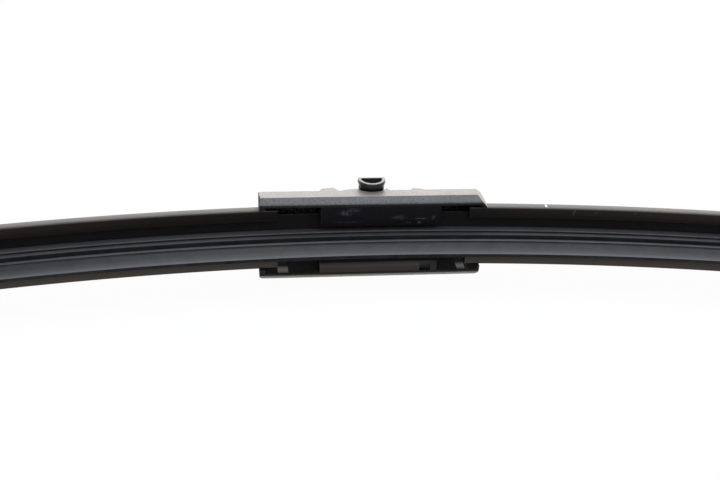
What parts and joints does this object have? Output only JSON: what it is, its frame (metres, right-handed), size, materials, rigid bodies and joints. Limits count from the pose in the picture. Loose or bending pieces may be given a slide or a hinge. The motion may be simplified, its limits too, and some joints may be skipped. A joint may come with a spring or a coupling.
{
  "type": "wiper blade",
  "caption": "Flat bowed wiper blade lying on its side, with a rubber between spring rails, clip-on spoilers, end caps and a middle connector with a hollow half-round arm stub.",
  "frame": {"origin": "on the axis of the half-round arm stub, at its flat open end", "axes": "+X along the blade, -Y the wiping side, +Y the spoiler ridge, +Z along the stub, up as the blade lies on its side"},
  "size_m": [0.4902, 0.0725, 0.0195],
  "materials": {
    "wiper_rubber": "graphite-dusted matt",
    "spring_rail": "black coated spring steel",
    "spoiler": "satin extruded elastomer",
    "end_cap": "fine moulded grain",
    "connector_base": "satin moulded",
    "connector_cover": "fine moulded grain"
  },
  "bodies": {
    "root": {"wiper_rubber": "wiper_rubber", "upper_spring_rail": "spring_rail", "lower_spring_rail": "spring_rail", "left_spoiler": "spoiler", "right_spoiler": "spoiler", "left_end_cap": "end_cap", "right_end_cap": "end_cap", "connector_base": "connector_base", "connector_cover": "connector_cover"}
  },
  "joints": []
}
